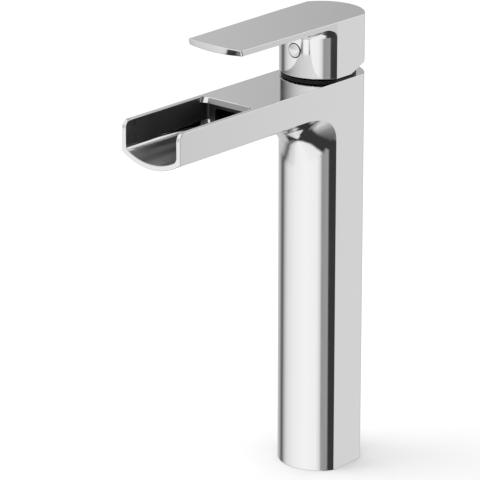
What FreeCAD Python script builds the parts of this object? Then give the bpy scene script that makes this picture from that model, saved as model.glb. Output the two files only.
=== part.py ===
import FreeCAD, Part
import math
import os

from FreeCAD import Vector

# Tall single-lever basin mixer with an open waterfall spout, in millimetres.
# The origin is the centre of the foot, on the deck that the mixer stands on.
# Z points up and the spout points along -Y.

# Overall form
OVERALL_HEIGHT = 300.0
HUB_HEIGHT = 36.8
HUB_GAP = 2.2
COLUMN_DIAMETER = 54.0
FLAT_DEPTH = 3.5
COLUMN_WALL = 3.5
EDGE_ROUND = 0.5

# Spout
SPOUT_REACH = 160.5
SPOUT_SIDE_HEIGHT = 19.5
UNDERSIDE_SAG = 7.4
UNDERSIDE_BLEND = 32.0
SPOUT_WALL = 3.2
SPOUT_FLOOR = 3.3
TROUGH_CORNER = 4.0
TIP_CORNER = 5.0
DECK_REACH = 89.2
DECK_THICKNESS = 3.6
DECK_LEAN = 22.0
DECK_CORNER = 4.4
WEIR_SETBACK = 3.3
WEIR_CORNER = 1.8
WEIR_WALL = 3.0
SLOT_WIDTH = 28.0
SLOT_HEIGHT = 11.0
SLOT_DROP = 3.9
SLOT_CORNER = 2.5
CHANNEL_BACK = 36.0

# Cartridge chamber and water ways in the casting
NUT_RECESS = 9.0
NUT_WALL = 4.0
CHAMBER_SHOULDER = 1.5
CHAMBER_FLOOR = 8.0
OUTLET_BORE = 9.0
OUTLET_SETBACK = 3.0
OUTLET_RISE = 2.5
OUTLET_LIFT = 9.6
OUTLET_OVERLAP = 4.0
INLET_THREAD = 10.0
INLET_THREAD_DEPTH = 12.0
INLET_BOSS = 15.0
INLET_BOSS_LENGTH = 14.0
INLET_OUTWARD = 1.1
INLET_FORWARD = 4.0
INLET_PORT = 5.2
PORT_ANGLE = 60.0
PORT_WALL = 1.9

# Foot
GASKET_THICKNESS = 2.5
GASKET_CLEARANCE = 0.6
FOOT_THICKNESS = 10.0
STUD_THREAD = 8.0
STUD_BACK = 10.5
HOSE_OPENING = 14.0

# Cartridge
CARTRIDGE_GAP = 0.5
BASE_STEP = 2.5
BASE_FOOT_HEIGHT = 6.0
BASE_HEIGHT = 8.0
BASE_FLOOR = 2.0
BASE_OUTLET = 7.0
OUTLET_WALL = 2.2
SEAL_DIAMETER = 8.6
SEAL_HEIGHT = 1.5
DISC_GAP = 1.3
DISC_HEIGHT = 3.0
DISC_SETBACK = 2.1
DISC_PLAY = 0.4
MIXING_POCKET_WALL = 3.2
MIXING_POCKET_DEPTH = 1.8
MIXING_POCKET_FRONT = 3.1
CARRIER_HEIGHT = 5.5
CARRIER_FLOOR = 0.8
CARRIER_PLAY = 0.45
HOUSING_WALL = 2.0
HOUSING_ROOF = 2.5
HOUSING_SEAL_HEIGHT = 2.2
HOUSING_SEAL_DEPTH = 1.0
HOUSING_SEAL_DROP = 4.0
NECK_SHOULDER = 5.5
NECK_WALL = 1.9
NECK_PROUD = 0.5
ROTOR_FLANGE = 2.0
ROTOR_FLANGE_GAP = 1.5
ROTOR_PROUD = 1.0
WASHER_THICKNESS = 0.5
ROTOR_SEAL_HEIGHT = 1.4
ROTOR_SEAL_DEPTH = 0.9
ROTOR_SEAL_DROP = 2.2
PIVOT_DROP = 5.0
PIVOT_DIAMETER = 4.0
PIVOT_SETBACK = 1.0
STEM_SQUARE = 8.0
STEM_TONGUE = 4.0
STEM_TONGUE_END = 5.2
STEM_TONGUE_NECK = 3.6
STEM_SHOULDER_GAP = 1.95
STEM_DEPTH = 14.0
SOCKET_PLAY = 0.3

# Nut and cap ring
NUT_KEY_WIDTH = 4.0
NUT_KEY_DEPTH = 2.5
CAP_SPIGOT = 1.5
CAP_GAP = 1.0
CAP_EDGE = 2.8
CAP_HEIGHT = 6.6
CAP_WALL = 1.8
CAP_FLANGE = 1.1
CAP_FLANGE_FORWARD = 3.5
CAP_FLANGE_LIP = 0.5
CAP_INSET = 1.0

# Lever and hub
LEVER_TRAVEL = 22.0
LEVER_REACH = 104.0
LEVER_TAPER = 2.0
LEVER_EDGE = 3.7
LEVER_CROWN = 1.3
LEVER_BLEND = 6.5
TIP_BOW_RADIUS = 155.0
TIP_UNDERCUT = 17.0
TIP_ROUND = 1.2
HUB_WALL = 2.5
HUB_ROOF = 6.0
STEM_BOSS = 17.0
STEM_BOSS_LENGTH = 20.0
SCREW_RIB = 13.0
INDEX_DROP = 19.6
INDEX_DIAMETER = 8.5
INDEX_PROUD = 0.4
INDEX_CROWN = 0.35
INDEX_LENGTH = 4.0
INDEX_RING = 0.6
INDEX_RING_SETBACK = 0.3
GRUB_THREAD = 5.0
GRUB_LENGTH = 10.0
GRUB_KEY = 2.5
GRUB_KEY_DEPTH = 3.0

# Clearances, and how far a cutter reaches past the face that it opens
FIT = 0.05
RUNNING = 0.1
OVER = 1.0

# Heights of the casting and the handle
hub_bottom_z = OVERALL_HEIGHT - HUB_HEIGHT
body_height = hub_bottom_z - HUB_GAP
index_z = OVERALL_HEIGHT - INDEX_DROP
stem_top_z = OVERALL_HEIGHT - STEM_DEPTH
hub_roof_z = OVERALL_HEIGHT - HUB_ROOF
boss_bottom_z = hub_roof_z - STEM_BOSS_LENGTH

# Plan of the column, from the outside in to the cartridge
column_radius = COLUMN_DIAMETER / 2
half_width = column_radius - FLAT_DEPTH
flat_end = math.sqrt(column_radius ** 2 - half_width ** 2)
cavity_radius = column_radius - COLUMN_WALL
cavity_half = half_width - COLUMN_WALL
nut_bore = 2 * (half_width - NUT_WALL)
chamber_bore = nut_bore - 2 * CHAMBER_SHOULDER
cartridge_diameter = chamber_bore - 2 * CARTRIDGE_GAP
base_foot = cartridge_diameter - 2 * BASE_STEP
housing_bore = cartridge_diameter - 2 * HOUSING_WALL
fixed_disc_diameter = housing_bore - 2 * DISC_GAP
moving_disc_diameter = housing_bore - 2 * (DISC_SETBACK + DISC_PLAY)
mixing_pocket = moving_disc_diameter - 2 * MIXING_POCKET_WALL
neck_diameter = cartridge_diameter - 2 * NECK_SHOULDER
rotor_diameter = neck_diameter - 2 * (NECK_WALL + RUNNING)
rotor_flange = housing_bore - 2 * ROTOR_FLANGE_GAP
pivot_length = rotor_diameter - 2 * PIVOT_SETBACK
hub_cavity = 2 * (half_width - HUB_WALL)

# Ports in the discs, and the inlets that feed them
port_circle = (fixed_disc_diameter - INLET_PORT) / 2 - PORT_WALL
port_x = port_circle * math.sin(math.radians(PORT_ANGLE))
port_y = -port_circle * math.cos(math.radians(PORT_ANGLE))
inlet_x = port_x + INLET_OUTWARD
inlet_y = port_y - INLET_FORWARD
outlet_y = (fixed_disc_diameter - BASE_OUTLET) / 2 - OUTLET_WALL

# Heights of the cartridge stack, from its shoulder down and its seat up
shoulder_z = body_height - NUT_RECESS
stack_height = BASE_HEIGHT + DISC_HEIGHT + FIT + DISC_HEIGHT + CARRIER_HEIGHT + CARRIER_PLAY
seat_z = shoulder_z - HOUSING_ROOF - WASHER_THICKNESS - ROTOR_FLANGE - stack_height
base_top_z = seat_z + BASE_HEIGHT
fixed_top_z = base_top_z + DISC_HEIGHT
moving_low_z = fixed_top_z + FIT
carrier_low_z = moving_low_z + DISC_HEIGHT
carrier_top_z = carrier_low_z + CARRIER_HEIGHT
roof_low_z = shoulder_z - HOUSING_ROOF
flange_top_z = roof_low_z - WASHER_THICKNESS
flange_low_z = flange_top_z - ROTOR_FLANGE
neck_top_z = body_height + NECK_PROUD
rotor_top_z = neck_top_z + ROTOR_PROUD
nut_top_z = body_height - CAP_SPIGOT
pivot_z = body_height - PIVOT_DROP
stem_low_z = carrier_top_z + STEM_SHOULDER_GAP
tongue_z = carrier_low_z + CARRIER_FLOOR + FIT + STEM_TONGUE_END / 2
cavity_top_z = seat_z - CHAMBER_FLOOR
inlet_z = cavity_top_z - INLET_BOSS_LENGTH

Z = Vector(0, 0, 1)
FRONT = Vector(0, -1, 0)
RIGHT = Vector(1, 0, 0)


def bar(diameter, low, high, x=0.0, y=0.0):
    """Upright round bar between two heights."""
    return Part.makeCylinder(diameter / 2, high - low, Vector(x, y, low), Z)


def ring(outer, inner, low, high, x=0.0, y=0.0):
    """Upright ring between two heights."""
    return bar(outer, low, high, x, y).cut(bar(inner, low - OVER, high + OVER, x, y))


def block(x0, x1, y0, y1, z0, z1):
    """Box between two corners."""
    return Part.makeBox(x1 - x0, y1 - y0, z1 - z0, Vector(x0, y0, z0))


def square_bar(half, low, high):
    """Upright square bar on the axis of the column."""
    return block(-half, half, -half, half, low, high)


def flatted(radius, half, low, high):
    """Upright round bar with two parallel flats."""
    return bar(2 * radius, low, high).common(block(-half, half, -2 * radius, 2 * radius, low, high))


def front_bar(diameter, start, length, z):
    """Round bar that points forward from a distance in front of the axis."""
    return Part.makeCylinder(diameter / 2, length, Vector(0, -start, z), FRONT)


def cross_bar(diameter, length, y, z):
    """Round bar along X, centred on the middle plane."""
    return Part.makeCylinder(diameter / 2, length, Vector(-length / 2, y, z), RIGHT)


def arc_height(x, low, radius):
    """Height of an upward-curling arc whose lowest point is at x = 0."""
    return low + radius - math.sqrt(radius ** 2 - x ** 2)


def arc_prism(half, low, radius, top, y_back, y_front):
    """Bar along Y with upright sides, a flat top and an underside that bulges down."""
    edge = arc_height(half, low, radius)
    left_low = Vector(-half, y_back, edge)
    right_low = Vector(half, y_back, edge)
    left_top = Vector(-half, y_back, top)
    right_top = Vector(half, y_back, top)
    under = Part.Arc(left_low, Vector(0, y_back, low), right_low).toShape()
    sides = [
        Part.makeLine(right_low, right_top),
        Part.makeLine(right_top, left_top),
        Part.makeLine(left_top, left_low),
    ]
    face = Part.Face(Part.Wire([under] + sides))
    return face.extrude(Vector(0, y_front - y_back, 0))


def bend_radius(half, sag):
    """Radius of an arc from its half width and its sag."""
    return (half ** 2 + sag ** 2) / (2 * sag)


def edges_where(shape, *tests):
    """Edges that pass one of the tests along their whole length."""
    kept = []
    for edge in shape.Edges:
        points = edge.discretize(9)
        if any(all(test(point) for point in points) for test in tests):
            kept.append(edge)
    return kept


def around(value, target):
    return abs(value - target) < 1e-3


def on_flat(point):
    """True on one of the two flats."""
    return around(abs(point.x), half_width)


def on_round(point):
    """True on the round part of the column or hub."""
    return around(math.hypot(point.x, point.y), column_radius)


def on_outline(point):
    """True on the plan outline of the column or hub."""
    return on_flat(point) or on_round(point)


def at_flat_end(point):
    """True where a flat meets the round part."""
    return on_flat(point) and around(abs(point.y), flat_end)


def blended(column, arm, radius, low, high):
    """Join an arm to the round column and blend the inside corner under it."""
    joined = column.fuse(arm).removeSplitter()
    corner = edges_where(joined, lambda p: on_round(p) and p.y < 1e-3 and low < p.z < high)
    return joined.makeFillet(radius, corner)


# Casting: column and spout
under_radius = bend_radius(half_width, UNDERSIDE_SAG)
side_edge_z = body_height - SPOUT_SIDE_HEIGHT
spout_low_z = side_edge_z - UNDERSIDE_SAG
spout_arm = arc_prism(half_width, spout_low_z, under_radius, body_height, 0, -SPOUT_REACH)
column = flatted(column_radius, half_width, 0, body_height)
casting = blended(column, spout_arm, UNDERSIDE_BLEND, spout_low_z - OVER, body_height - OVER)

corner_y = -SPOUT_REACH + TIP_CORNER
corner_z = body_height - TIP_CORNER
tip_corner = block(-half_width, half_width, -SPOUT_REACH, corner_y, corner_z, body_height)
tip_corner = tip_corner.cut(cross_bar(2 * TIP_CORNER, 2 * half_width, corner_y, corner_z))
casting = casting.cut(tip_corner)

# Trough, the weir at its back and the roofed channel that feeds it
trough_half = half_width - SPOUT_WALL
floor_low_z = spout_low_z + SPOUT_FLOOR
floor_radius = under_radius - SPOUT_FLOOR
floor_edge_z = arc_height(trough_half, floor_low_z, floor_radius)
deck_under_z = body_height - DECK_THICKNESS
weir_y = -DECK_REACH + WEIR_SETBACK
trough_end = -SPOUT_REACH - OVER


def on_trough_side(point):
    """True on one of the two inner sides of the trough."""
    return around(abs(point.x), trough_half)


def channel_cutter(y_back, y_front):
    """Space below the deck, with rounded corners along the floor."""
    cutter = arc_prism(trough_half, floor_low_z, floor_radius, deck_under_z, y_back, y_front)
    corners = edges_where(cutter, lambda p: on_trough_side(p) and around(p.z, floor_edge_z))
    return cutter.makeFillet(TROUGH_CORNER, corners)


def deck_opening():
    """Open top of the trough, with rounded corners and an edge of the deck that leans back."""
    lean = math.tan(math.radians(DECK_LEAN))
    top_z = body_height + OVER
    back_y = -DECK_REACH + OVER * lean
    side_y = back_y - DECK_CORNER
    back_x = trough_half - DECK_CORNER
    turn = DECK_CORNER * math.sqrt(0.5)
    corner = [Vector(side * trough_half, side_y, top_z) for side in (-1, 1)]
    middle = [Vector(side * (back_x + turn), side_y + turn, top_z) for side in (-1, 1)]
    back = [Vector(side * back_x, back_y, top_z) for side in (-1, 1)]
    end = [Vector(side * trough_half, trough_end, top_z) for side in (-1, 1)]
    plan = Part.Wire([
        Part.makeLine(end[0], corner[0]),
        Part.Arc(corner[0], middle[0], back[0]).toShape(),
        Part.makeLine(back[0], back[1]),
        Part.Arc(back[1], middle[1], corner[1]).toShape(),
        Part.makeLine(corner[1], end[1]),
        Part.makeLine(end[1], end[0]),
    ])
    drop = DECK_THICKNESS + OVER
    return Part.Face(plan).extrude(Vector(0, -drop * lean, -drop))


trough = channel_cutter(weir_y, trough_end)
trough_back = edges_where(
    trough, lambda p: on_trough_side(p) and around(p.y, weir_y) and p.z > floor_edge_z
)
trough = trough.makeFillet(WEIR_CORNER, trough_back)
channel = channel_cutter(-CHANNEL_BACK, weir_y + WEIR_WALL)

# Slot in the weir, where the water comes out
slot_half = SLOT_WIDTH / 2
slot_top_z = deck_under_z - SLOT_DROP
slot_low_z = slot_top_z - SLOT_HEIGHT
slot = block(-slot_half, slot_half, weir_y - OVER, weir_y + WEIR_WALL + OVER, slot_low_z, slot_top_z)
slot_edges = edges_where(
    slot,
    lambda p: around(abs(p.x), slot_half) and around(p.z, slot_low_z),
    lambda p: around(abs(p.x), slot_half) and around(p.z, slot_top_z),
)
slot = slot.makeFillet(SLOT_CORNER, slot_edges)
casting = casting.cut(trough.fuse([deck_opening(), slot, channel])).removeSplitter()

# Polished edges of the casting
casting = casting.makeFillet(EDGE_ROUND, edges_where(
    casting,
    lambda p: around(p.z, body_height),
    lambda p: around(p.z, 0) and on_outline(p),
    lambda p: around(p.y, -SPOUT_REACH),
    lambda p: at_flat_end(p),
    lambda p: on_flat(p) and p.y < corner_y + 1e-3 and p.z > corner_z - 1e-3,
    lambda p: on_flat(p) and p.y < -flat_end - 1e-3 and p.z < side_edge_z + 1e-3,
))

# Hollow column, cartridge chamber and water ways
casting = casting.cut(flatted(cavity_radius, cavity_half, -OVER, cavity_top_z))
for side in (-1, 1):
    casting = casting.fuse(bar(INLET_BOSS, inlet_z, cavity_top_z + OVER, side * inlet_x, inlet_y))
casting = casting.cut(bar(chamber_bore, seat_z, body_height + OVER))
casting = casting.cut(bar(nut_bore, shoulder_z, body_height + OVER))
thread_end_z = inlet_z + INLET_THREAD_DEPTH
for side in (-1, 1):
    casting = casting.cut(bar(INLET_THREAD, inlet_z - OVER, thread_end_z, side * inlet_x, inlet_y))
    casting = casting.cut(bar(INLET_PORT, thread_end_z, seat_z + OVER, side * port_x, port_y))
outlet_from = Vector(0, -chamber_bore / 2 + OUTLET_SETBACK, seat_z + OUTLET_RISE)
outlet_to = Vector(0, -CHANNEL_BACK - OUTLET_OVERLAP, floor_low_z + OUTLET_LIFT)
outlet_line = outlet_to.sub(outlet_from)
casting = casting.cut(Part.makeCylinder(OUTLET_BORE / 2, outlet_line.Length, outlet_from, outlet_line))
faucet_body = casting.removeSplitter()

# Foot plate with the stud thread and hose opening, and the gasket under it
foot_top_z = GASKET_THICKNESS + FOOT_THICKNESS


def hose_cutter(width):
    """Long round-ended opening under the two inlets."""
    low = -OVER
    high = foot_top_z + OVER
    cutter = block(-inlet_x, inlet_x, inlet_y - width / 2, inlet_y + width / 2, low, high)
    ends = [bar(width, low, high, side * inlet_x, inlet_y) for side in (-1, 1)]
    return cutter.fuse(ends).removeSplitter()


foot_plate = flatted(cavity_radius - FIT, cavity_half - FIT, GASKET_THICKNESS, foot_top_z)
foot_plate = foot_plate.cut(bar(STUD_THREAD, 0, foot_top_z + OVER, 0, STUD_BACK))
foot_plate = foot_plate.cut(hose_cutter(HOSE_OPENING))
base_gasket = flatted(cavity_radius - FIT, cavity_half - FIT, 0, GASKET_THICKNESS)
base_gasket = base_gasket.cut(bar(STUD_THREAD + 2 * GASKET_CLEARANCE, -OVER, foot_top_z, 0, STUD_BACK))
base_gasket = base_gasket.cut(hose_cutter(HOSE_OPENING + 2 * GASKET_CLEARANCE))

# Cartridge base with its outlet, which opens to the back of the chamber
base_foot_z = seat_z + BASE_FOOT_HEIGHT
base_floor_z = seat_z + BASE_FLOOR
outlet_half = BASE_OUTLET / 2
cartridge_base = bar(base_foot, seat_z, base_foot_z)
cartridge_base = cartridge_base.fuse(bar(cartridge_diameter, base_foot_z, base_top_z))
cartridge_base = cartridge_base.cut(bar(BASE_OUTLET, base_floor_z, base_top_z + OVER, 0, outlet_y))
cartridge_base = cartridge_base.cut(
    block(-outlet_half, outlet_half, outlet_y, base_foot, base_floor_z, base_foot_z)
)

# Inlet ports through the base, the seals under it and the fixed disc
seal_top_z = seat_z + SEAL_HEIGHT
seals = []
fixed_disc = bar(fixed_disc_diameter, base_top_z, fixed_top_z)
fixed_disc = fixed_disc.cut(bar(BASE_OUTLET, base_top_z - OVER, fixed_top_z + OVER, 0, outlet_y))
for side in (-1, 1):
    port = bar(INLET_PORT, seat_z - OVER, fixed_top_z + OVER, side * port_x, port_y)
    cartridge_base = cartridge_base.cut(port)
    fixed_disc = fixed_disc.cut(port)
    recess = bar(SEAL_DIAMETER, seat_z - OVER, seal_top_z, side * port_x, port_y)
    cartridge_base = cartridge_base.cut(recess)
    seals.append(ring(SEAL_DIAMETER - 2 * FIT, INLET_PORT, seat_z, seal_top_z, side * port_x, port_y))
cartridge_seals = Part.makeCompound(seals)

# Moving disc with its mixing pocket, and the carrier on it
moving_disc = bar(moving_disc_diameter, moving_low_z, carrier_low_z, 0, DISC_SETBACK)
pocket_front_y = DISC_SETBACK - MIXING_POCKET_FRONT
pocket_top_z = moving_low_z + MIXING_POCKET_DEPTH
pocket_low_z = moving_low_z - OVER
pocket = bar(mixing_pocket, pocket_low_z, pocket_top_z, 0, DISC_SETBACK)
pocket = pocket.common(
    block(-mixing_pocket, mixing_pocket, pocket_front_y, 2 * mixing_pocket, pocket_low_z, pocket_top_z)
)
moving_disc = moving_disc.cut(pocket)
tongue_half = STEM_TONGUE / 2
socket_x = tongue_half + RUNNING
socket_y = STEM_TONGUE_END / 2 + SOCKET_PLAY
disc_carrier = bar(moving_disc_diameter, carrier_low_z, carrier_top_z, 0, DISC_SETBACK)
disc_carrier = disc_carrier.cut(
    block(-socket_x, socket_x, -socket_y, socket_y, carrier_low_z + CARRIER_FLOOR, carrier_top_z + OVER)
)

# Cartridge housing with its neck, and the seal in its groove
cartridge_housing = bar(cartridge_diameter, base_top_z, shoulder_z)
cartridge_housing = cartridge_housing.cut(bar(housing_bore, base_top_z - OVER, roof_low_z))
cartridge_housing = cartridge_housing.fuse(bar(neck_diameter, shoulder_z - OVER, neck_top_z))
cartridge_housing = cartridge_housing.cut(bar(rotor_diameter + 2 * RUNNING, base_top_z, neck_top_z + OVER))
groove_top_z = shoulder_z - HOUSING_SEAL_DROP
groove_low_z = groove_top_z - HOUSING_SEAL_HEIGHT
groove_floor = cartridge_diameter - 2 * HOUSING_SEAL_DEPTH
cartridge_housing = cartridge_housing.cut(ring(chamber_bore, groove_floor, groove_low_z, groove_top_z))
housing_seal = ring(chamber_bore - 2 * FIT, groove_floor + 2 * FIT, groove_low_z, groove_top_z)

# Rotor with a slot for the stem, its washer and seal, and the pivot pin
glide_washer = ring(rotor_flange, rotor_diameter + 2 * RUNNING, flange_top_z, roof_low_z)
stem_rotor = bar(rotor_diameter, flange_low_z, rotor_top_z)
stem_rotor = stem_rotor.fuse(bar(rotor_flange, flange_low_z, flange_top_z - FIT))
tilt = math.radians(LEVER_TRAVEL)
stem_slot_half = STEM_SQUARE / 2 + RUNNING
slot_side = stem_slot_half / math.cos(tilt) + SOCKET_PLAY
slot_back = slot_side + (rotor_top_z - pivot_z) * math.tan(tilt)
slot_front = slot_side + (pivot_z - stem_low_z) * math.tan(tilt)
stem_rotor = stem_rotor.cut(
    block(-stem_slot_half, stem_slot_half, -slot_front, slot_back, flange_low_z - OVER, rotor_top_z + OVER)
)
pivot_pin = cross_bar(PIVOT_DIAMETER, pivot_length, 0, pivot_z)
stem_rotor = stem_rotor.cut(cross_bar(PIVOT_DIAMETER + 2 * FIT, pivot_length + 2 * FIT, 0, pivot_z))
rotor_seal_top_z = rotor_top_z - ROTOR_SEAL_DROP
rotor_seal_low_z = rotor_seal_top_z - ROTOR_SEAL_HEIGHT
rotor_groove = rotor_diameter - 2 * ROTOR_SEAL_DEPTH
stem_rotor = stem_rotor.cut(ring(neck_diameter, rotor_groove, rotor_seal_low_z, rotor_seal_top_z))
rotor_seal = ring(rotor_diameter, rotor_groove + 2 * FIT, rotor_seal_low_z, rotor_seal_top_z)

# Stem with a flat tongue that pushes the carrier
stem_half = STEM_SQUARE / 2
neck_half = STEM_TONGUE_NECK / 2
control_stem = square_bar(stem_half, stem_low_z, stem_top_z)
control_stem = control_stem.fuse(
    block(-tongue_half, tongue_half, -neck_half, neck_half, tongue_z, stem_low_z + OVER)
)
control_stem = control_stem.fuse(cross_bar(STEM_TONGUE_END, STEM_TONGUE, 0, tongue_z))
control_stem = control_stem.cut(cross_bar(PIVOT_DIAMETER + 2 * FIT, 2 * STEM_SQUARE, 0, pivot_z))

# Retaining nut with cross slots for its key
nut_hole = neck_diameter + 4 * RUNNING
key_low_z = nut_top_z - NUT_KEY_DEPTH
key_half = NUT_KEY_WIDTH / 2
retaining_nut = ring(nut_bore - 2 * RUNNING, nut_hole, shoulder_z, nut_top_z)
for x_half, y_half in ((key_half, nut_bore), (nut_bore, key_half)):
    key_slot = block(-x_half, x_half, -y_half, y_half, key_low_z, nut_top_z + OVER)
    retaining_nut = retaining_nut.cut(key_slot)

# Cap ring over the nut: a spigot in the nut bore, an upright edge and a bevel
cap_outer = hub_cavity / 2 - CAP_GAP
cap_inner = nut_hole / 2
cap_spigot = nut_bore / 2 - RUNNING
cap_top_z = body_height + CAP_HEIGHT
cap_edge_z = body_height + CAP_EDGE
cap_under_z = cap_edge_z - CAP_WALL
cap_profile = [
    Vector(cap_inner + CAP_WALL, 0, cap_top_z),
    Vector(cap_inner, 0, cap_top_z),
    Vector(cap_inner, 0, cap_under_z),
    Vector(cap_spigot - CAP_WALL, 0, cap_under_z),
    Vector(cap_spigot - CAP_WALL, 0, nut_top_z),
    Vector(cap_spigot, 0, nut_top_z),
    Vector(cap_spigot, 0, body_height),
    Vector(cap_outer, 0, body_height),
    Vector(cap_outer, 0, cap_edge_z),
]
cap_face = Part.Face(Part.makePolygon(cap_profile + cap_profile[:1]))
cap_ring = cap_face.revolve(Vector(0, 0, 0), Z, 360)

# Flange of the cap ring: it fills the gap at the front and stays clear of the tilting back
flange_high_z = body_height + CAP_FLANGE
flange_diameter = 2 * (cap_outer + CAP_FLANGE_FORWARD + CAP_FLANGE_LIP)
cap_flange = flatted(column_radius - CAP_INSET, half_width - CAP_INSET, body_height, flange_high_z)
cap_flange = cap_flange.common(bar(flange_diameter, body_height, flange_high_z, 0, -CAP_FLANGE_FORWARD))
cap_flange = cap_flange.cut(bar(2 * cap_spigot, body_height - OVER, flange_high_z + OVER))
cap_ring = cap_ring.fuse(cap_flange).removeSplitter()

# Lever and hub
lever_radius = bend_radius(half_width, LEVER_CROWN)
lever_edge_z = OVERALL_HEIGHT - LEVER_EDGE
lever_low_z = lever_edge_z - LEVER_CROWN
lever_arm = arc_prism(half_width, lever_low_z, lever_radius, OVERALL_HEIGHT, 0, -LEVER_REACH)
hub = flatted(column_radius, half_width, hub_bottom_z, OVERALL_HEIGHT)
handle = blended(hub, lever_arm, LEVER_BLEND, lever_low_z - OVER, OVERALL_HEIGHT - OVER)

# Plan of the handle: straight beside the hub, then tapered toward the tip
tip_half = half_width - LEVER_TAPER
outline = [
    Vector(half_width, 2 * column_radius, 0),
    Vector(half_width, -flat_end, 0),
    Vector(tip_half, -LEVER_REACH, 0),
    Vector(-tip_half, -LEVER_REACH, 0),
    Vector(-half_width, -flat_end, 0),
    Vector(-half_width, 2 * column_radius, 0),
]
outline_face = Part.Face(Part.makePolygon(outline + outline[:1]))
handle = handle.common(outline_face.extrude(Z * (OVERALL_HEIGHT + OVER)))

# Bowed and undercut tip
tip_low_radius = TIP_BOW_RADIUS - HUB_HEIGHT * math.tan(math.radians(TIP_UNDERCUT))
tip_centre = Vector(0, TIP_BOW_RADIUS - LEVER_REACH, hub_bottom_z)
handle = handle.common(Part.makeCone(tip_low_radius, TIP_BOW_RADIUS, HUB_HEIGHT, tip_centre, Z))
handle = handle.removeSplitter()

# Polished edges of the handle
tip_back_y = -LEVER_REACH + TIP_BOW_RADIUS - math.sqrt(TIP_BOW_RADIUS ** 2 - half_width ** 2)
tip_back_y = tip_back_y + LEVER_EDGE + LEVER_CROWN


def on_lever_side(point):
    """True along the lower side edges of the lever."""
    outside = point.y < -flat_end - 1e-3 and abs(point.x) > tip_half - OVER
    return outside and lever_low_z < point.z < lever_edge_z + EDGE_ROUND


handle = handle.makeFillet(TIP_ROUND, edges_where(
    handle, lambda p: p.y < tip_back_y and abs(p.x) > tip_half - OVER
))
handle = handle.makeFillet(EDGE_ROUND, edges_where(
    handle,
    lambda p: around(p.z, OVERALL_HEIGHT),
    lambda p: around(p.z, hub_bottom_z),
    lambda p: at_flat_end(p) and p.y > 0,
    lambda p: at_flat_end(p) and p.y < 0 and p.z < lever_low_z,
    lambda p: p.y < tip_back_y,
    on_lever_side,
))

# Relief under the back of the hub, so that it can tilt
relief = block(-COLUMN_DIAMETER, COLUMN_DIAMETER, 0, 2 * COLUMN_DIAMETER, -COLUMN_DIAMETER, 0)
relief.rotate(Vector(0, 0, 0), RIGHT, LEVER_TRAVEL)
relief.translate(Vector(0, 0, hub_bottom_z))
handle = handle.cut(relief)

# Cored hub: a stem boss and a rib for the clamping screw stand in the hollow
rib_half = SCREW_RIB / 2
hub_core = bar(hub_cavity, hub_bottom_z - OVER, hub_roof_z)
hub_core = hub_core.cut(bar(STEM_BOSS, boss_bottom_z, OVERALL_HEIGHT))
hub_core = hub_core.cut(block(-rib_half, rib_half, -hub_cavity, 0, boss_bottom_z, OVERALL_HEIGHT))
handle = handle.cut(hub_core)
handle = handle.cut(square_bar(stem_half + FIT, hub_bottom_z, stem_top_z + FIT))

# Seat of the index plug, and the way of the screw behind it
index_front = column_radius + INDEX_PROUD
index_back = index_front - INDEX_LENGTH
ring_diameter = INDEX_DIAMETER + 2 * INDEX_RING
handle = handle.cut(front_bar(ring_diameter + 2 * FIT, index_back, COLUMN_DIAMETER, index_z))
handle = handle.cut(front_bar(GRUB_THREAD + 2 * FIT, 0, column_radius, index_z))
lever_handle = handle.removeSplitter()

# Clamping screw with a hexagon socket
grub_end = stem_half + GRUB_LENGTH
grub_screw = front_bar(GRUB_THREAD, stem_half, GRUB_LENGTH, index_z)
key_radius = GRUB_KEY / math.sqrt(3)
key_angles = [math.radians(60 * corner) for corner in range(7)]
key_points = [Vector(key_radius * math.cos(a), 0, key_radius * math.sin(a)) for a in key_angles]
key = Part.Face(Part.makePolygon(key_points)).extrude(FRONT * (GRUB_KEY_DEPTH + OVER))
key.translate(Vector(0, GRUB_KEY_DEPTH - grub_end, index_z))
grub_screw = grub_screw.cut(key)

# Index plug with a crowned face, and the ring round it
crown_radius = bend_radius(INDEX_DIAMETER / 2, INDEX_CROWN)
crown_centre = Vector(0, crown_radius - index_front, index_z)
index_plug = front_bar(INDEX_DIAMETER, index_back, INDEX_LENGTH, index_z)
index_plug = index_plug.common(Part.makeSphere(crown_radius, crown_centre))
ring_length = INDEX_LENGTH - INDEX_PROUD - INDEX_CROWN - INDEX_RING_SETBACK
index_ring = front_bar(ring_diameter, index_back, ring_length, index_z)
index_ring = index_ring.cut(front_bar(INDEX_DIAMETER + 2 * FIT, index_back, INDEX_LENGTH, index_z))

pieces = {
    "faucet_body": faucet_body,
    "foot_plate": foot_plate,
    "base_gasket": base_gasket,
    "cartridge_base": cartridge_base,
    "cartridge_seals": cartridge_seals,
    "fixed_disc": fixed_disc,
    "cartridge_housing": cartridge_housing,
    "housing_seal": housing_seal,
    "glide_washer": glide_washer,
    "retaining_nut": retaining_nut,
    "cap_ring": cap_ring,
    "stem_rotor": stem_rotor,
    "rotor_seal": rotor_seal,
    "pivot_pin": pivot_pin,
    "moving_disc": moving_disc,
    "disc_carrier": disc_carrier,
    "control_stem": control_stem,
    "lever_handle": lever_handle,
    "grub_screw": grub_screw,
    "index_plug": index_plug,
    "index_ring": index_ring,
}

os.makedirs("parts", exist_ok=True)
for name, shape in pieces.items():
    shape.exportStep("parts/" + name + ".step")
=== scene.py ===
import math

import bpy
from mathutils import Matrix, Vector

# Tall single-lever basin mixer in polished chrome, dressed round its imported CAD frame.
# All lengths are metres in the CAD frame: Z up, the spout towards -Y.

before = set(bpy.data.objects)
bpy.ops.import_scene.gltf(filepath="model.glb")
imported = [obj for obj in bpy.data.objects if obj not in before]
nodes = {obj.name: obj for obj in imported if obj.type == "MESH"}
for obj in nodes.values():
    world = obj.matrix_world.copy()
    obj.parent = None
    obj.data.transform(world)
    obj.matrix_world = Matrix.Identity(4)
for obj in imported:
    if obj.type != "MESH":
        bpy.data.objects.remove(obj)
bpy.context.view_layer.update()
scene = bpy.context.scene

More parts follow.
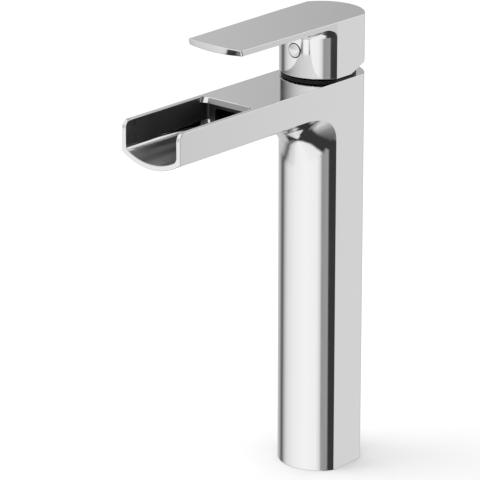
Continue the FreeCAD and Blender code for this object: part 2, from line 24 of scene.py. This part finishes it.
# Camera that matches the photograph: a long lens, not shifted
CAMERA_PLACE = (1.36772, -1.65906, 0.87582)
CAMERA_AIM = (-0.01648, -0.05965, 0.16032)
CAMERA_LENS_MM = 265.5
CAMERA_SENSOR_MM = 36.0
CAMERA_NEAR = 0.05

# Floor, and the one lamp, a softbox in front on the left
FLOOR_SIZE = 14.0
FLOOR_COLOUR = (0.96, 0.96, 0.96, 1.0)
FLOOR_ROUGHNESS = 0.9
KEY_PLACE = (-0.9, -0.9, 1.6)
KEY_AIM = (0.0, -0.05, 0.12)
KEY_SIZE = 1.2
KEY_WATTS = 9.0

# World: its light on the object, what the camera sees of it, and how often metal mirrors metal
SOFT_LIGHT = 1.0
CAMERA_WHITE = 1.0
GLOSSY_BOUNCES = 8

# Panels of the studio that the metal mirrors, as (azimuth in degrees, brightness).
# Azimuth 0 is in front of the spout and 90 is at the right-hand flat.
DEEP_PANELS = (
    (-180, 0.70), (-112, 0.62), (-97, 0.35), (-90, 0.16), (-84, 0.20), (-76, 0.50), (-66, 0.76),
    (-48, 0.88), (-36, 1.02), (0, 1.13), (41, 1.02), (150, 1.00), (180, 0.70),
)
BACK_PANELS = (
    (-180, 0.70), (-120, 0.62), (60, 0.05), (80, 0.08), (105, 0.28), (146, 0.80), (180, 0.70),
)
LOW_PANELS = (
    (-180, 0.45), (-165, 0.62), (-112, 0.62), (-91, 0.13), (-87, 0.13), (-71, 0.70), (-60, 0.90),
    (-36, 1.05), (0, 1.13), (31, 1.08), (41, 0.82), (45, 0.36), (62, 0.40), (64, 0.045), (80, 0.045),
    (90, 0.36), (124, 0.67), (138, 0.72), (141, 0.83), (150, 0.84), (158, 0.40), (170, 0.25), (180, 0.45),
)
LEVEL_PANELS = (
    (-180, 0.48), (-165, 0.64), (-120, 0.66), (-90, 0.46), (-66, 0.58), (-45, 0.68), (-20, 1.00),
    (0, 1.13), (37, 0.95), (45, 0.50), (62, 0.40), (72, 0.28), (90, 0.46), (124, 0.66), (141, 0.83),
    (150, 0.84), (158, 0.45), (170, 0.30), (180, 0.48),
)
HIGH_PANELS = (
    (-180, 0.40), (-142, 0.46), (-138, 0.61), (-132, 0.66), (-118, 0.62), (-101, 0.06), (-86, 0.12),
    (-40, 0.70), (-18, 0.90), (22, 1.08), (38, 1.02), (44, 0.25), (58, 0.22), (61, 0.05), (101, 0.05),
    (106, 0.70), (125, 1.00), (160, 1.00), (174, 0.50), (180, 0.40),
)
CROWN_PANELS = (
    (-180, 0.50), (-120, 0.50), (-95, 1.00), (30, 1.05), (44, 0.25), (100, 0.20), (115, 1.00),
    (160, 1.00), (175, 0.55), (180, 0.50),
)
# Zones above the deep one, from below to above: the heights of a direction between which
# each takes over, and its panels. The zenith is one plain panel.
ZONES = (
    ((-0.46, -0.38), LOW_PANELS),
    ((-0.255, -0.21), LEVEL_PANELS),
    ((0.0, 0.12), HIGH_PANELS),
    ((0.30, 0.38), CROWN_PANELS),
)
ZENITH_TURN = (0.76, 0.84)
ZENITH = 0.50
# Long dark flag in the deep zone: where its front, back and left edges lie along an axis across each
FLAG = 0.045
FLAG_FRONT_AXIS = (0.337, 0.870, 0.360)
FLAG_FRONT = (-0.45, -0.38)
FLAG_BACK_AXIS = (0.692, 0.699, -0.180)
FLAG_BACK = (0.55, 0.62)
FLAG_LEFT = (-0.52, -0.42)

# Middle part of a noise texture's values, which is spread over the range of a result
NOISE_RANGE = (0.3, 0.7)

# Chrome: its shade and roughness, with smears in both, and the fine waves of the surface.
# A bump is given as its strength and depth.
CHROME_DARK = (0.780, 0.782, 0.780)
CHROME_LIGHT = (0.804, 0.804, 0.800)
CHROME_ROUGHNESS = (0.06, 0.10)
# The index plug's chrome is a slightly darker copy of the rest, a painted shade.
PLUG_PAINTED_SHADE = -0.02
SMEAR_SCALE = 38.0
SMEAR_DETAIL = 3.0
WAVE_SCALE = 900.0
WAVE_BUMP = (0.012, 0.0002)

# Moulded pieces: the grain of the surface and the clouds of the colour
GRAIN_SCALE = 1400.0
GRAIN_DETAIL = 3.0
GRAIN_BUMP = (0.15, 0.0001)
GRAIN_ROUGHNESS = (-0.08, 0.08)
MOULDED_CLOUD_SCALE = 90.0

# Machined pieces: tool marks round the upright axis and the clouds of the colour
MARK_SCALE = (60.0, 60.0, 2600.0)
MARK_BUMP = (0.12, 0.0001)
MARK_ROUGHNESS = (-0.08, 0.10)
MACHINED_CLOUD_SCALE = 70.0

# Space of the trough, whose inner side gets painted shade and a rougher surface
TROUGH_HALF = 0.0204
TROUGH_FRONT = -0.1599
TROUGH_BACK = -0.0355
TROUGH_TOP = 0.2604
TROUGH_FLOOR = 0.2358
FLOOR_BEND = 12.2
# Places in it kept clear of the painted shade and the extra roughness: the rounds along the floor, and
# the leaning edge of the deck with its corners
ROUND_SIDE = 0.0182
ROUND_TOP = 0.2455
EDGE_FRONT = -0.0945
EDGE_LOW = 0.2574
EDGE_HALF = 0.0162
EDGE_POLISH = 0.4
# Painted shade inside it, which gets darker from the tip to the weir, on a surface that gets rougher the
# same way
TIP_TO_WEIR = (TROUGH_FRONT, -0.087)
PAINTED_TROUGH_SHADE = (0.34, 0.13)
PLATING_DULLNESS = (0.15, 0.45)
PAINTED_SHADE_SMEAR = (0.92, 1.08)
# Random streaks along the trough's floor, which vary its painted shade
STREAK_SCALE = (150.0, 16.0, 150.0)
STREAK_SHADE = (0.50, 1.60)
STREAK_TOP = 0.2430


# Node helpers

def new_material(name):
    material = bpy.data.materials.new(name)
    material.use_nodes = True
    tree = material.node_tree
    return material, tree, tree.nodes["Principled BSDF"]


def add(tree, kind, **settings):
    node = tree.nodes.new(kind)
    for key, value in settings.items():
        setattr(node, key, value)
    return node


def link(tree, source, target):
    tree.links.new(source, target)


def object_coords(tree):
    return add(tree, "ShaderNodeTexCoord").outputs["Object"]


def parted(tree, coords):
    node = add(tree, "ShaderNodeSeparateXYZ")
    link(tree, coords, node.inputs["Vector"])
    return node.outputs


def noise(tree, coords, scale=1.0, detail=2.0):
    node = add(tree, "ShaderNodeTexNoise")
    node.inputs["Scale"].default_value = scale
    node.inputs["Detail"].default_value = detail
    link(tree, coords, node.inputs["Vector"])
    return node.outputs["Fac"]


def stretched(tree, coords, scale):
    node = add(tree, "ShaderNodeMapping")
    node.inputs["Scale"].default_value = scale
    link(tree, coords, node.inputs["Vector"])
    return node.outputs["Vector"]


def spread(tree, value, low, high, source=NOISE_RANGE):
    """Spread the source range of a value from low to high, and hold it at these beyond."""
    node = add(tree, "ShaderNodeMapRange")
    node.inputs["From Min"].default_value, node.inputs["From Max"].default_value = source
    node.inputs["To Min"].default_value = low
    node.inputs["To Max"].default_value = high
    link(tree, value, node.inputs["Value"])
    return node.outputs["Result"]


def tinted(tree, value, dark, light):
    node = add(tree, "ShaderNodeMix", data_type="RGBA")
    node.inputs["A"].default_value = (*dark, 1)
    node.inputs["B"].default_value = (*light, 1)
    link(tree, value, node.inputs["Factor"])
    return node.outputs["Result"]


def mixed(tree, factor, first, second):
    """Mix two colours, where a plain number stands for a grey."""
    node = add(tree, "ShaderNodeMix", data_type="RGBA")
    link(tree, factor, node.inputs["Factor"])
    for socket, value in ((node.inputs["A"], first), (node.inputs["B"], second)):
        if isinstance(value, float):
            socket.default_value = (value, value, value, 1)
        else:
            link(tree, value, socket)
    return node.outputs["Result"]


def bump(tree, value, strength, depth):
    node = add(tree, "ShaderNodeBump")
    node.inputs["Strength"].default_value = strength
    node.inputs["Distance"].default_value = depth
    link(tree, value, node.inputs["Height"])
    return node.outputs["Normal"]


def maths(tree, operation, first, second):
    node = add(tree, "ShaderNodeMath", operation=operation)
    for socket, value in zip(node.inputs, (first, second)):
        if isinstance(value, (int, float)):
            socket.default_value = value
        else:
            link(tree, value, socket)
    return node.outputs["Value"]


def product(tree, first, *others):
    for other in others:
        first = maths(tree, "MULTIPLY", first, other)
    return first


def above(tree, value, limit):
    return maths(tree, "GREATER_THAN", value, limit)


def below(tree, value, limit):
    return maths(tree, "LESS_THAN", value, limit)


def along(tree, coords, axis):
    node = add(tree, "ShaderNodeVectorMath", operation="DOT_PRODUCT")
    node.inputs[1].default_value = axis
    link(tree, coords, node.inputs[0])
    return node.outputs["Value"]


# Materials

def dress(tree, shader, colour, roughness, normal):
    link(tree, colour, shader.inputs["Base Color"])
    link(tree, roughness, shader.inputs["Roughness"])
    link(tree, normal, shader.inputs["Normal"])


def inside_trough(tree, coords):
    """Where the trough's painted shade lies, how dark the painted shade is, and how much rougher the
    surface is there.
    """
    x, y, z = parted(tree, coords)
    side = maths(tree, "ABSOLUTE", x, 0.0)
    flattened = maths(tree, "SUBTRACT", z, product(tree, x, x, FLOOR_BEND))
    inside = product(
        tree,
        below(tree, side, TROUGH_HALF),
        above(tree, y, TROUGH_FRONT),
        below(tree, y, TROUGH_BACK),
        below(tree, z, TROUGH_TOP),
        above(tree, flattened, TROUGH_FLOOR),
    )
    floor_round = product(tree, above(tree, side, ROUND_SIDE), below(tree, z, ROUND_TOP))
    edge_polish = maths(tree, "MAXIMUM", above(tree, side, EDGE_HALF), EDGE_POLISH)
    deck_edge = product(tree, above(tree, z, EDGE_LOW), above(tree, y, EDGE_FRONT), edge_polish)
    polished_and_unshaded = maths(tree, "MAXIMUM", floor_round, deck_edge)
    dull_and_painted_shade = product(tree, inside, maths(tree, "SUBTRACT", 1.0, polished_and_unshaded))
    streaks = spread(tree, noise(tree, stretched(tree, coords, STREAK_SCALE)), *STREAK_SHADE)
    streaks = product(tree, below(tree, z, STREAK_TOP), maths(tree, "SUBTRACT", streaks, 1.0))
    # Painted shade, darker from the tip to the weir and varied by the streaks
    shade = spread(tree, y, *PAINTED_TROUGH_SHADE, TIP_TO_WEIR)
    shade = product(tree, shade, maths(tree, "ADD", streaks, 1.0))
    rougher = product(tree, dull_and_painted_shade, spread(tree, y, *PLATING_DULLNESS, TIP_TO_WEIR))
    return dull_and_painted_shade, shade, rougher


def chrome(name, tint=0.0, trough=False):
    """Polished plating: faint smears in its shade and gloss, and very slight waves in the surface; with
    trough, painted shade inside the trough.
    """
    material, tree, shader = new_material(name)
    coords = object_coords(tree)
    smear = noise(tree, coords, SMEAR_SCALE, SMEAR_DETAIL)
    waves = noise(tree, coords, WAVE_SCALE)
    dark, light = ([part + tint for part in shade] for shade in (CHROME_DARK, CHROME_LIGHT))
    colour = tinted(tree, smear, dark, light)
    roughness = spread(tree, smear, *CHROME_ROUGHNESS)
    if trough:
        # Painted shade inside the trough, on a rougher surface there
        dull_and_painted_shade, shade, rougher = inside_trough(tree, coords)
        shade = product(tree, shade, spread(tree, smear, *PAINTED_SHADE_SMEAR))
        colour = mixed(tree, dull_and_painted_shade, colour, shade)
        roughness = maths(tree, "ADD", roughness, rougher)
    dress(tree, shader, colour, roughness, bump(tree, waves, *WAVE_BUMP))
    shader.inputs["Metallic"].default_value = 1.0
    return material


def moulded(name, dark, light, roughness, shine=0.5):
    """Moulded plastic or rubber, or pressed ceramic, with a fine grain."""
    material, tree, shader = new_material(name)
    coords = object_coords(tree)
    grain = noise(tree, coords, GRAIN_SCALE, GRAIN_DETAIL)
    colour = tinted(tree, noise(tree, coords, MOULDED_CLOUD_SCALE), dark, light)
    grain_roughness = spread(tree, grain, *(roughness + change for change in GRAIN_ROUGHNESS))
    dress(tree, shader, colour, grain_roughness, bump(tree, grain, *GRAIN_BUMP))
    shader.inputs["Specular IOR Level"].default_value = shine
    return material


def machined(name, dark, light, roughness):
    """Turned or milled metal with fine tool marks round the upright axis."""
    material, tree, shader = new_material(name)
    coords = object_coords(tree)
    marks = noise(tree, stretched(tree, coords, MARK_SCALE))
    colour = tinted(tree, noise(tree, coords, MACHINED_CLOUD_SCALE), dark, light)
    mark_roughness = spread(tree, marks, *(roughness + change for change in MARK_ROUGHNESS))
    dress(tree, shader, colour, mark_roughness, bump(tree, marks, *MARK_BUMP))
    shader.inputs["Metallic"].default_value = 1.0
    return material


body_chrome = chrome("chrome_body", trough=True)
handle_chrome = chrome("chrome_handle")
plug_chrome = chrome("chrome_plug", PLUG_PAINTED_SHADE)
brass = machined("machined_brass", (0.70, 0.52, 0.25), (0.80, 0.63, 0.34), roughness=0.32)
steel = machined("machined_steel", (0.56, 0.57, 0.58), (0.66, 0.67, 0.68), roughness=0.30)
rubber = moulded("seal_rubber", (0.012, 0.012, 0.013), (0.03, 0.03, 0.031), roughness=0.62)
# The cap ring sits in the gap under the lever; its near-black is partly its own colour and partly painted
# shade of that gap.
black_plastic = moulded(
    "black_plastic", (0.008, 0.008, 0.009), (0.018, 0.018, 0.019), roughness=0.38, shine=0.2)
cartridge_plastic = moulded("cartridge_plastic", (0.70, 0.70, 0.67), (0.77, 0.77, 0.74), roughness=0.48)
white_plastic = moulded("white_plastic", (0.80, 0.80, 0.78), (0.87, 0.87, 0.85), roughness=0.42)
ceramic = moulded("lapped_ceramic", (0.86, 0.85, 0.82), (0.92, 0.91, 0.88), roughness=0.22)

FINISHES = {
    "faucet_body": body_chrome,
    "lever_handle": handle_chrome,
    "index_plug": plug_chrome,
    "index_ring": rubber,
    "cap_ring": black_plastic,
    "base_gasket": rubber,
    "foot_plate": brass,
    "retaining_nut": brass,
    "cartridge_base": cartridge_plastic,
    "cartridge_housing": cartridge_plastic,
    "cartridge_seals": rubber,
    "housing_seal": rubber,
    "rotor_seal": rubber,
    "glide_washer": white_plastic,
    "stem_rotor": white_plastic,
    "disc_carrier": white_plastic,
    "fixed_disc": ceramic,
    "moving_disc": ceramic,
    "pivot_pin": steel,
    "control_stem": steel,
    "grub_screw": steel,
}
for name, material in FINISHES.items():
    mesh = nodes[name].data
    mesh.materials.clear()
    mesh.materials.append(material)


# Stage, world, lamp and camera

def white_floor():
    """Plain white floor that the metal doesn't mirror."""
    bpy.ops.mesh.primitive_plane_add(size=FLOOR_SIZE, location=(0, 0, 0))
    floor = bpy.context.object
    floor.name = "floor"
    material, _, shader = new_material("white_floor")
    shader.inputs["Base Color"].default_value = FLOOR_COLOUR
    shader.inputs["Roughness"].default_value = FLOOR_ROUGHNESS
    shader.inputs["Specular IOR Level"].default_value = 0.0
    floor.data.materials.append(material)
    floor.visible_glossy = False


def ramp(tree, position, panels):
    """Ring of panels, by a position that goes from 0 at azimuth -180 to 1 at 180."""
    node = add(tree, "ShaderNodeValToRGB")
    stops = node.color_ramp.elements
    while len(stops) > 1:
        stops.remove(stops[-1])
    for index, (degrees, brightness) in enumerate(panels):
        place = degrees / 360 + 0.5
        stop = stops[0] if index == 0 else stops.new(place)
        stop.position = place
        stop.color = (brightness, brightness, brightness, 1)
    link(tree, position, node.inputs["Fac"])
    return node.outputs["Color"]


def studio_world():
    """White to the camera, soft light on the object, and panels in the metal."""
    world = bpy.data.worlds.new("studio")
    world.use_nodes = True
    scene.world = world
    tree = world.node_tree
    background = tree.nodes["Background"]
    direction = add(tree, "ShaderNodeTexCoord").outputs["Generated"]
    x, y, height = parted(tree, direction)
    azimuth = maths(tree, "ARCTAN2", x, product(tree, y, -1.0))
    position = maths(tree, "ADD", maths(tree, "DIVIDE", azimuth, 2 * math.pi), 0.5)
    past_front = spread(tree, along(tree, direction, FLAG_FRONT_AXIS), 1.0, 0.0, FLAG_FRONT)
    past_left = spread(tree, x, 1.0, 0.0, FLAG_LEFT)
    past_back = spread(tree, along(tree, direction, FLAG_BACK_AXIS), 0.0, 1.0, FLAG_BACK)
    off_flag = maths(tree, "MAXIMUM", past_front, past_left)
    panels = mixed(tree, off_flag, FLAG, ramp(tree, position, DEEP_PANELS))
    panels = mixed(tree, past_back, panels, ramp(tree, position, BACK_PANELS))
    for turn, zone in ZONES:
        panels = mixed(tree, spread(tree, height, 0.0, 1.0, turn), panels, ramp(tree, position, zone))
    panels = mixed(tree, spread(tree, height, 0.0, 1.0, ZENITH_TURN), panels, ZENITH)
    path = add(tree, "ShaderNodeLightPath")
    seen = mixed(tree, path.outputs["Is Glossy Ray"], SOFT_LIGHT, panels)
    seen = mixed(tree, path.outputs["Is Camera Ray"], seen, CAMERA_WHITE)
    link(tree, seen, background.inputs["Color"])
    background.inputs["Strength"].default_value = 1.0


def placed(name, data, place, aim):
    """Put a lamp or a camera into the scene, looking from its place to its aim."""
    holder = bpy.data.objects.new(name, data)
    scene.collection.objects.link(holder)
    holder.location = place
    holder.rotation_mode = "QUATERNION"
    holder.rotation_quaternion = (Vector(aim) - Vector(place)).to_track_quat("-Z", "Y")
    return holder


def key_light():
    lamp = bpy.data.lights.new("key_light", "AREA")
    lamp.shape = "SQUARE"
    lamp.size = KEY_SIZE
    lamp.energy = KEY_WATTS
    placed("key_light", lamp, KEY_PLACE, KEY_AIM).visible_glossy = False


def photo_camera():
    camera = bpy.data.cameras.new("camera")
    camera.sensor_width = CAMERA_SENSOR_MM
    camera.lens = CAMERA_LENS_MM
    camera.clip_start = CAMERA_NEAR
    scene.camera = placed("camera", camera, CAMERA_PLACE, CAMERA_AIM)


white_floor()
studio_world()
key_light()
photo_camera()
scene.view_settings.view_transform = "Standard"
scene.cycles.glossy_bounces = GLOSSY_BOUNCES
